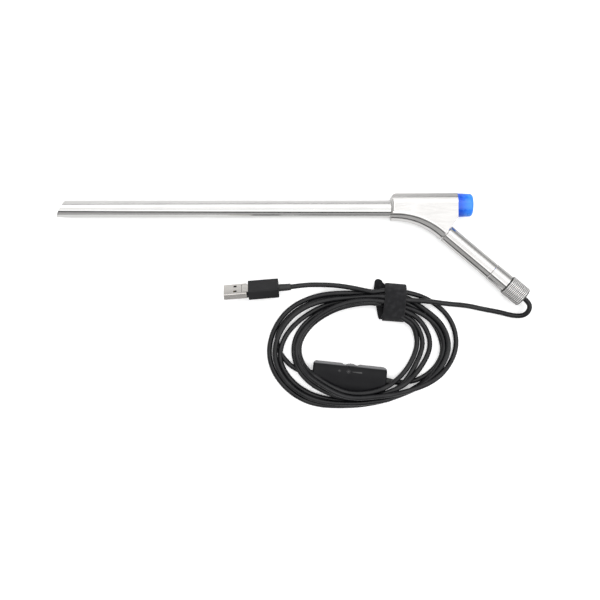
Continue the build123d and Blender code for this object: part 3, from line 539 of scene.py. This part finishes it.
def steel(name, light, dark, rough, scale, stretch=(1, 1, 1), turn=(0, 0, 0), depth=0.00001, patches=60):
    """Stainless steel with a ground or turned surface: scratches, and faint patches from handling."""
    metal = Wiring(bpy.data.materials.new(name), "Principled BSDF")
    where = metal.add("ShaderNodeTexCoord", output="Object")
    turned = metal.add("ShaderNodeMapping", Vector=where, Rotation=turn)
    stretched = metal.add("ShaderNodeMapping", Vector=turned, Scale=stretch)
    scratches = metal.add("ShaderNodeTexNoise", Vector=stretched, Scale=scale, Detail=5, Roughness=0.65)
    patch = metal.add("ShaderNodeTexNoise", Vector=where, Scale=patches, Detail=3)
    metal.feed(
        metal.surface,
        Base_Color=metal.mix(scratches.step(0.3, 0.7) * 0.7 + patch.step(0.3, 0.7) * 0.3, dark, light),
        Metallic=1,
        Roughness=rough + scratches * 0.1 + patch * 0.06 - 0.08,
        Normal=metal.add("ShaderNodeBump", Height=scratches, Strength=0.3, Distance=depth),
    )
    return metal


tube_steel = steel("tube_steel", (0.66, 0.655, 0.645), (0.56, 0.555, 0.545), 0.14, 1500, (0.02, 1, 1))
finish_nodes(tube_steel.owner, "working_tube")
liner_steel = steel("liner_steel", (0.55, 0.55, 0.54), (0.42, 0.42, 0.41), 0.3, 1200, (0.03, 1, 1))
finish_nodes(liner_steel.owner, "channel_liner")

# ---- Camera in the tip -----------------------------------------------------------------------------------
# A 5 mm camera module beside the channel: steel housing, glass window over a black lens barrel, six white lamps
# on a ring board, and the image sensor with its driver board behind. Its lead runs back inside the tube.
camera_steel = steel("camera_steel", (0.6, 0.6, 0.6), (0.45, 0.45, 0.45), 0.26, 1800, (1, 0.1, 0.1))
finish_nodes(camera_steel.owner, "camera_housing", "tip_insert")


def moulded(name, colour, worn, rough, grain_scale, depth=0.00003, wear_scale=45, **fixed):
    """Moulded plastic, rubber, glass or lacquer: a fine grain and slightly uneven colour."""
    plastic = Wiring(bpy.data.materials.new(name), "Principled BSDF")
    where = plastic.add("ShaderNodeTexCoord", output="Object")
    fine = plastic.add("ShaderNodeTexNoise", Vector=where, Scale=grain_scale, Detail=3)
    uneven = plastic.add("ShaderNodeTexNoise", Vector=where, Scale=wear_scale, Detail=4)
    plastic.feed(
        plastic.surface,
        Base_Color=plastic.mix(uneven.step(0.3, 0.75), colour, worn),
        Roughness=fine * 0.08 + uneven * 0.1 + rough - 0.09,
        Normal=plastic.add("ShaderNodeBump", Height=fine, Strength=0.4, Distance=depth),
        **fixed,
    )
    return plastic


lens_glass = moulded(
    "lens_glass", (0.9, 0.95, 1.0), (0.86, 0.92, 1.0), 0.12, 900, 0.000002, Transmission_Weight=1.0, IOR=1.5
)
finish_nodes(lens_glass.owner, "lens_window")
black_metal = moulded("black_metal", (0.012, 0.012, 0.013), (0.03, 0.03, 0.032), 0.42, 2200, Metallic=0.6)
finish_nodes(black_metal.owner, "lens_barrel")
circuit_green = moulded("circuit_green", (0.008, 0.08, 0.035), (0.012, 0.11, 0.045), 0.34, 2600, Coat_Weight=0.4)
finish_nodes(circuit_green.owner, "led_board", "dimmer_board")
lamp_yellow = moulded("lamp_yellow", (0.85, 0.72, 0.2), (0.95, 0.85, 0.4), 0.4, 3000)
finish_nodes(lamp_yellow.owner, "leds")
black_resin = moulded("black_resin", (0.012, 0.012, 0.014), (0.022, 0.022, 0.024), 0.4, 2400)
finish_nodes(black_resin.owner, "image_sensor", "dimmer_pot", "usb_core", "micro_usb_tongue")
finish_nodes(jacket.owner, "camera_lead", "cable_lead", "cable_tail", "cable_coil")
finish_nodes(cloth.owner, "cable_strap")

# ---- Block and rear port ---------------------------------------------------------------------------------
# One piece of stainless steel, milled and satin polished, that joins tube, rear port and handle. The port is a
# screwed-in nipple with an O-ring, closed by a blue plastic cap over a slit silicone membrane.
block_steel = steel("block_steel", (0.68, 0.67, 0.66), (0.6, 0.59, 0.58), 0.18, 900, (0.12, 1, 1), patches=40)
finish_nodes(block_steel.owner, "y_block")
branch_turn = math.radians(40)
turned_steel = steel(
    "turned_steel", (0.66, 0.65, 0.64), (0.54, 0.53, 0.52), 0.14, 1600, (1, 0.04, 0.04), (0, 0, branch_turn), 0.000012
)
finish_nodes(turned_steel.owner, "port_nipple", "handle_tube", "gland_sleeve", "thrust_washer")
rubber = moulded("black_rubber", (0.01, 0.01, 0.01), (0.02, 0.02, 0.02), 0.6, 1800)
finish_nodes(rubber.owner, "port_ring", "cable_collet", "dimmer_relief_in", "dimmer_relief_out", "usb_relief")

cap_low, cap_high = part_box("seal_cap")
blue = Wiring(bpy.data.materials.new("cap_blue"), "Principled BSDF")
cap_place = blue.add("ShaderNodeTexCoord", output="Object")
# Painted shade: the cap is coloured dark blue next to the block and lighter blue towards its outer end, with a random
# mottle over it.
painted_light_outwards = blue.along(cap_place, (1, 0, 0)).step(cap_low.x + 0.001, cap_high.x - 0.002)
cloud = blue.add("ShaderNodeTexNoise", Vector=cap_place, Scale=210, Detail=3)
painted_shade_and_mottle = painted_light_outwards * 0.75 + cloud * 0.5 - 0.12
blue.feed(
    blue.surface,
    Base_Color=blue.mix(painted_shade_and_mottle, (0.002, 0.06, 0.6), (0.03, 0.27, 0.95)),
    Roughness=cloud * 0.12 + 0.22,
    Normal=blue.add("ShaderNodeBump", Height=cloud, Strength=0.2, Distance=0.0001),
    Subsurface_Weight=0.25,
    Subsurface_Radius=(0.2, 0.4, 1.0),
    Subsurface_Scale=0.001,
)
finish_nodes(blue.owner, "seal_cap")
silicone = moulded(
    "clear_silicone",
    (0.75, 0.76, 0.78),
    (0.68, 0.7, 0.72),
    0.35,
    1500,
    Subsurface_Weight=0.4,
    Subsurface_Scale=0.001,
)
finish_nodes(silicone.owner, "seal_membrane")

# ---- Clamp nut -------------------------------------------------------------------------------------------
# A turned steel nut with a square knurl. It pushes the washer against the rubber collet that grips the cable. The
# knurl is rolled in rows round the nut, and its rear edge is rounded.
branch = Vector((0.766044, -0.642788, 0))
nut_end = Vector((0.164085191, -0.035007416, 0.0086))
nut_length, nut_radius, bore_radius, cable_hole = 0.01515, 0.0076, 0.00555, 0.0022
rear_wall, rear_round, stud = 0.00335, 0.0013, 0.0002
groove_half = 0.0003
studs_round, stud_rows = 40, 11
nut = bmesh.new()
chamfer = 0.0004
outline = [
    (-nut_length + chamfer, bore_radius),
    (-nut_length, bore_radius + chamfer),
    (-nut_length, nut_radius - chamfer),
]
knurl_start, knurl_end = -nut_length + 0.0003, -rear_round * 0.7
base = nut_radius - stud
outline += [(knurl_start + (knurl_end - knurl_start) * row / stud_rows, base) for row in range(stud_rows + 1)]
for angle in (25, 50, 75, 90):
    turn = math.radians(angle)
    outline.append((-rear_round * (1 - math.sin(turn)) * 0.7, base - rear_round * (1 - math.cos(turn))))
outline += [(0, cable_hole + chamfer), (-chamfer, cable_hole), (-rear_wall, cable_hole), (-rear_wall, bore_radius)]
ring = [nut.verts.new((along, out, 0)) for along, out in outline]
edges = [nut.edges.new(pair) for pair in zip(ring, ring[1:] + ring[:1])]
bmesh.ops.spin(
    nut, geom=ring + edges, cent=(0, 0, 0), axis=(1, 0, 0), angle=math.tau, steps=studs_round, use_merge=True
)
bmesh.ops.remove_doubles(nut, verts=nut.verts[:], dist=1e-6)
bmesh.ops.recalc_face_normals(nut, faces=nut.faces[:])
for face in nut.faces:
    face.smooth = True


def in_knurl(face):
    corners = [vertex.co for vertex in face.verts]
    return (
        all(abs(Vector((0, c.y, c.z)).length - base) < 1e-6 for c in corners)
        and all(knurl_start - 1e-6 < c.x < knurl_end + 1e-6 for c in corners)
    )


knurl = [face for face in nut.faces if in_knurl(face)]
for face in knurl:
    face.smooth = False
raised = bmesh.ops.inset_individual(nut, faces=knurl, thickness=groove_half, depth=stud, use_even_offset=True)
for face in raised["faces"]:
    face.smooth = False
to_branch = Matrix.Translation(nut_end) @ Matrix.Rotation(math.atan2(branch.y, branch.x), 4, "Z")
bmesh.ops.transform(nut, matrix=to_branch, verts=nut.verts[:])
nut_mesh = bpy.data.meshes.new("clamp_nut_knurled")
nut.to_mesh(nut_mesh)
nut_piece = bpy.data.objects.new("clamp_nut_knurled", nut_mesh)
bpy.context.scene.collection.objects.link(nut_piece)
knurled = steel(
    "knurled_steel", (0.78, 0.77, 0.76), (0.68, 0.67, 0.66), 0.24, 1800, (1, 0.1, 0.1), (0, 0, branch_turn)
)
offset_place = knurled.add(
    "ShaderNodeVectorMath",
    {"operation": "SUBTRACT"},
    Vector=knurled.add("ShaderNodeTexCoord", output="Object"),
    Vector_001=nut_end,
)
sideways = knurled.add("ShaderNodeVectorMath", {"operation": "CROSS_PRODUCT"}, Vector=offset_place, Vector_001=branch)
out = knurled.add("ShaderNodeVectorMath", {"operation": "LENGTH"}, 1, Vector=sideways)
# Painted shade: the grooves between the knurl's studs are coloured near black, darker than the steel studs.
painted_groove_shade = 1 - out.step(base + stud * 0.1, base + stud * 0.85)
groove_shade_colour = (0.09, 0.088, 0.085)
knurled.feed(knurled.surface, Base_Color=knurled.mix(painted_groove_shade * 0.95, knurled.base_colour(), groove_shade_colour))
nut_mesh.materials.append(knurled.owner)
finish_nodes(knurled.owner, "knurled_nut")
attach(nut_piece, "clamp_nut")
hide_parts("knurled_nut")

# ---- Dimmer ----------------------------------------------------------------------------------------------
# Two moulded ABS shells, held by two screws from below, with a ribbed thumbwheel in a scoop at one edge. A light
# band of painted highlight runs along the back edge of the top, and small raised marks on the crowned top show which
# way is brighter.
dimmer_plastic = moulded(
    "dimmer_plastic", (0.006, 0.006, 0.007), (0.011, 0.011, 0.012), 0.36, 1500, 0.00004, Specular_IOR_Level=0.1
)
dimmer_place = dimmer_plastic.add("ShaderNodeTexCoord", output="Object")
backwards = (-math.sin(dimmer_turn), math.cos(dimmer_turn), 0)
edge_line = dimmer_middle.y * backwards[1] + dimmer_middle.x * backwards[0]
# Painted highlight: a light grey band along the back edge of the top, where the rounded edge catches the light.
painted_edge_highlight = dimmer_plastic.along(dimmer_place, backwards).step(edge_line + 0.0082, edge_line + 0.0092)
painted_edge_highlight = painted_edge_highlight * dimmer_plastic.along(dimmer_place, (0, 0, 1)).step(0.0052, 0.0064)
edge_highlight_grey = (0.17, 0.17, 0.175)
dimmer_plastic.feed(
    dimmer_plastic.surface,
    Base_Color=dimmer_plastic.mix(painted_edge_highlight, dimmer_plastic.base_colour(), edge_highlight_grey),
)
finish_nodes(dimmer_plastic.owner, "dimmer_top_shell", "dimmer_bottom_shell", "dimmer_wheel")
screw_steel = steel("screw_steel", (0.5, 0.5, 0.5), (0.35, 0.35, 0.35), 0.3, 2000)
finish_nodes(screw_steel.owner, "dimmer_screws")

top_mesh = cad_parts["dimmer_top_shell"].data
top_surface = BVHTree.FromPolygons(
    [vertex.co for vertex in top_mesh.vertices], [polygon.vertices for polygon in top_mesh.polygons]
)
marks = bmesh.new()
mark_height = 0.00012


def mark(points):
    """A small raised shape on the top, given in the dimmer's own directions."""
    corners = []
    for x, y in points:
        over = Vector((
            dimmer_middle.x + x * math.cos(dimmer_turn) - y * math.sin(dimmer_turn),
            dimmer_middle.y + x * math.sin(dimmer_turn) + y * math.cos(dimmer_turn),
            0.05,
        ))
        hit = top_surface.ray_cast(over, Vector((0, 0, -1)))[0]
        corners.append(marks.verts.new(hit - Vector((0, 0, mark_height))))
    face = marks.faces.new(corners)
    face.normal_update()
    grown = bmesh.ops.extrude_face_region(marks, geom=[face])
    top = [item for item in grown["geom"] if isinstance(item, bmesh.types.BMVert)]
    bmesh.ops.translate(marks, verts=top, vec=(0, 0, 2 * mark_height))


marks_row = 0.0048
for x, size in ((-0.0076, 0.001), (-0.001, 0.0016)):
    for spoke in range(8):
        turn = math.tau * spoke / 8
        near, far, thick = size * 0.62, size, 0.00016
        across_x, across_y = -math.sin(turn) * thick, math.cos(turn) * thick
        mark([
            (x + math.cos(turn) * r + side * across_x, marks_row + math.sin(turn) * r + side * across_y)
            for r, side in ((near, -1), (far, -1), (far, 1), (near, 1))
        ])
    mark([
        (x + math.cos(math.tau * i / 12) * size * 0.42, marks_row + math.sin(math.tau * i / 12) * size * 0.42)
        for i in range(12)
    ])
mark([(0.0017, 0.0046), (0.0086, 0.0042), (0.0086, 0.0054), (0.0017, 0.005)])
bmesh.ops.recalc_face_normals(marks, faces=marks.faces[:])
marks_mesh = bpy.data.meshes.new("dimmer_marks")
marks.to_mesh(marks_mesh)
marks_piece = bpy.data.objects.new("dimmer_marks", marks_mesh)
bpy.context.scene.collection.objects.link(marks_piece)
mark_paint = moulded("mark_grey", (0.018, 0.018, 0.019), (0.028, 0.028, 0.029), 0.45, 3000)
marks_mesh.materials.append(mark_paint.owner)
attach(marks_piece, "instrument")

# ---- Plug ------------------------------------------------------------------------------------------------
# A nickel-plated USB-A shell that hinges up on a pin to bare a micro USB connector, on a black moulded body with a
# collar for the cable.
nickel = steel("plug_nickel", (0.62, 0.6, 0.57), (0.5, 0.48, 0.46), 0.2, 1500, (0.1, 1, 1))
finish_nodes(nickel.owner, "usb_shell", "usb_rear_plate", "usb_hinge_pin", "micro_usb_shell")
gold = moulded("contact_gold", (0.85, 0.6, 0.22), (0.75, 0.5, 0.16), 0.25, 1800, 0.000005, Metallic=1.0)
finish_nodes(gold.owner, "usb_contacts")
plug_plastic = moulded(
    "plug_plastic", (0.01, 0.01, 0.011), (0.018, 0.018, 0.019), 0.4, 1400, 0.00004, Specular_IOR_Level=0.15
)
finish_nodes(plug_plastic.owner, "usb_overmould")
